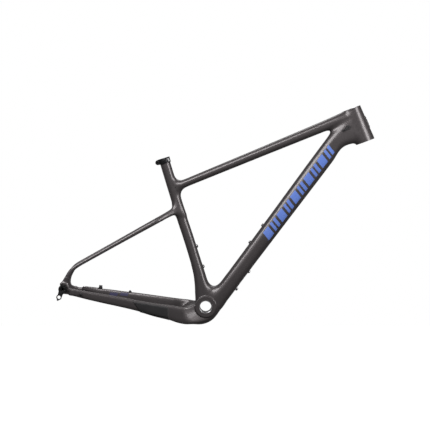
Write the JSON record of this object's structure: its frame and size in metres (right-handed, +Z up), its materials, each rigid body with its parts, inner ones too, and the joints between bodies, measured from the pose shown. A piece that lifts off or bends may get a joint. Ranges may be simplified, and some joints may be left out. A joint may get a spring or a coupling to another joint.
{
  "type": "bicycle frame",
  "caption": "Hardtail mountain bicycle frame of moulded carbon tubes with bosses, a seat clamp, a threaded bottom bracket shell, dropouts with a derailleur hanger and a thru-axle.",
  "frame": {"origin": "centre of the bottom bracket bore, on the frame's mid-plane", "axes": "+X forward to the head tube, +Y to the non-drive side, +Z up"},
  "size_m": [0.952, 0.1766, 0.658],
  "materials": {
    "carbon_paint": "satin dark grey paint over carbon fibre",
    "carbon_matte": "matte dark grey",
    "black_alloy": "black anodised",
    "bare_alloy": "machined",
    "steel": "zinc plated",
    "black_steel": "black plated",
    "soft_rubber": "matte moulded"
  },
  "bodies": {
    "frame": {"head_tube": "carbon_paint", "top_tube": "carbon_paint", "down_tube": "carbon_paint", "seat_tube": "carbon_paint", "seat_cluster": "carbon_paint", "bottom_bracket_shell": "carbon_paint", "chainstay_yoke": "carbon_paint", "chainstay_drive": "carbon_paint", "chainstay_nondrive": "carbon_paint", "seatstay_drive": "carbon_paint", "seatstay_nondrive": "carbon_paint", "dropout_drive": "carbon_matte", "dropout_nondrive": "carbon_matte", "bb_thread_sleeve": "bare_alloy", "upper_bearing_seat": "bare_alloy", "lower_bearing_seat": "bare_alloy", "hanger_washer": "steel", "down_tube_inserts": "bare_alloy", "down_tube_bolts": "black_steel", "seat_tube_inserts": "bare_alloy", "seat_tube_bolts": "black_steel", "under_tube_inserts": "bare_alloy", "under_tube_bolts": "black_steel", "cable_port_drive": "soft_rubber", "cable_port_nondrive": "soft_rubber", "port_screws": "black_steel", "head_badge": "black_alloy", "badge_rivets": "bare_alloy", "chainstay_guard": "soft_rubber", "brake_mount_sleeves": "bare_alloy", "brake_hose_clip": "soft_rubber", "brake_hose_grommet": "soft_rubber", "shift_housing_grommet": "soft_rubber"},
    "clamp": {"seat_clamp_collar": "black_alloy", "seat_clamp_barrel": "steel"},
    "clamp_bolt": {"seat_clamp_bolt": "black_steel"},
    "hanger": {"derailleur_hanger": "black_alloy", "hanger_bolt": "black_alloy"},
    "washer": {"axle_washer": "bare_alloy"},
    "axle": {"thru_axle": "black_alloy"}
  },
  "joints": [
    {"name": "clamp_turn", "type": "hinge", "parent": "frame", "child": "clamp", "pos_m": [-0.1238, 0, 0.43774], "axis": [-0.2907, 0, 0.9568], "continuous": true},
    {"name": "clamp_bolt_turn", "type": "hinge", "parent": "clamp", "child": "clamp_bolt", "pos_m": [-0.14351, 0, 0.43175], "axis": [0, 1, 0], "continuous": true},
    {"name": "hanger_turn", "type": "hinge", "parent": "frame", "child": "hanger", "pos_m": [-0.42634, 0, 0.056], "axis": [0, 1, 0], "range_deg": [0, 30]},
    {"name": "axle_draw", "type": "slide", "parent": "frame", "child": "washer", "axis": [0, 1, 0], "range_m": [0, 0.18]},
    {"name": "axle_turn", "type": "hinge", "parent": "washer", "child": "axle", "pos_m": [-0.42634, 0, 0.056], "axis": [0, 1, 0], "continuous": true}
  ]
}
